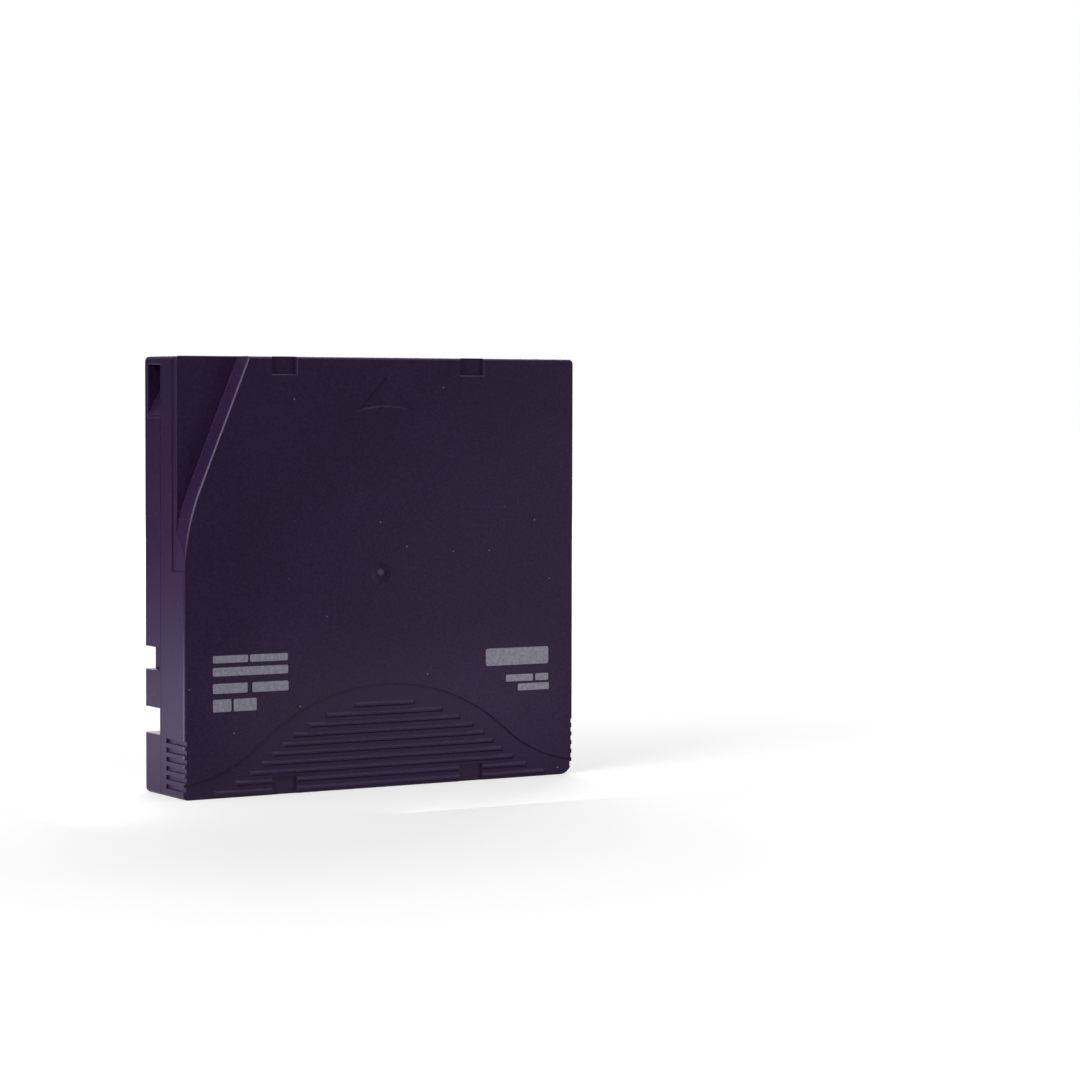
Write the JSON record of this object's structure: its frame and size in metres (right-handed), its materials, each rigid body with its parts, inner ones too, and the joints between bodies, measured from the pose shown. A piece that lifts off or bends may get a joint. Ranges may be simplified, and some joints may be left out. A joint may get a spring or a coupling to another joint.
{
  "type": "data tape cartridge",
  "caption": "Flat rectangular case holding one reel of half-inch tape, with a side door, a stepped guide corner, a ribbed grip and a toothed hub opening underneath.",
  "frame": {"origin": "middle of the rear (label) edge that the cartridge stands on", "axes": "+Z towards the insertion edge, -Y out of the top side with the arrow, +X towards the access door"},
  "size_m": [0.1054, 0.0216, 0.102],
  "materials": {
    "case_plastic": "fine matt texture, dark purple",
    "door_plastic": "matt, near black",
    "zinc_steel": "zinc plated",
    "spring_steel": "drawn wire and strip",
    "switch_plastic": "satin red",
    "board_green": "solder resist",
    "chip_black": "moulded resin",
    "bright_steel": "ground steel",
    "hub_plastic": "natural white",
    "clear_flange": "milky clear",
    "tape_brown": "wound tape edge",
    "leader_film": "smooth film",
    "brake_plastic": "satin grey",
    "pad_plastic": "acetal, cream"
  },
  "bodies": {
    "case": {"upper_shell": "case_plastic", "lower_shell": "case_plastic", "case_screws": "zinc_steel", "brake_spring": "spring_steel", "door_spring": "spring_steel", "leader_pin": "bright_steel", "leader_clip": "hub_plastic", "leader_tape": "leader_film", "pin_retaining_spring": "spring_steel", "memory_board": "board_green", "memory_chip": "chip_black"},
    "reel": {"reel_hub": "hub_plastic", "upper_flange": "clear_flange", "tape_pack": "tape_brown", "clutch_plate": "bright_steel"},
    "brake": {"brake_button": "brake_plastic"},
    "release_pad": {"brake_release_pad": "pad_plastic", "thrust_ball": "bright_steel"},
    "door": {"access_door": "door_plastic"},
    "switch": {"write_protect_switch": "switch_plastic"}
  },
  "joints": [
    {"name": "reel_spin", "type": "hinge", "parent": "case", "child": "reel", "pos_m": [-0.0013, 0, 0.051], "axis": [0, 1, 0], "continuous": true},
    {"name": "brake_lift", "type": "slide", "parent": "case", "child": "brake", "axis": [0, -1, 0], "range_m": [0, 0.002], "stiffness_N_per_m": 400, "springref_m": -0.004, "deforming": ["brake_spring"]},
    {"name": "release_pad_lift", "type": "slide", "parent": "reel", "child": "release_pad", "axis": [0, -1, 0], "range_m": [0, 0.002]},
    {"name": "door_slide", "type": "slide", "parent": "case", "child": "door", "axis": [0, 0, -1], "range_m": [0, 0.014], "stiffness_N_per_m": 20, "springref_m": -0.01, "deforming": ["door_spring"]},
    {"name": "write_protect_slide", "type": "slide", "parent": "case", "child": "switch", "axis": [1, 0, 0], "range_m": [0, 0.006]}
  ],
  "couplings": [
    {"joint": "release_pad_lift", "follows": "brake_lift", "ratio": 1}
  ]
}
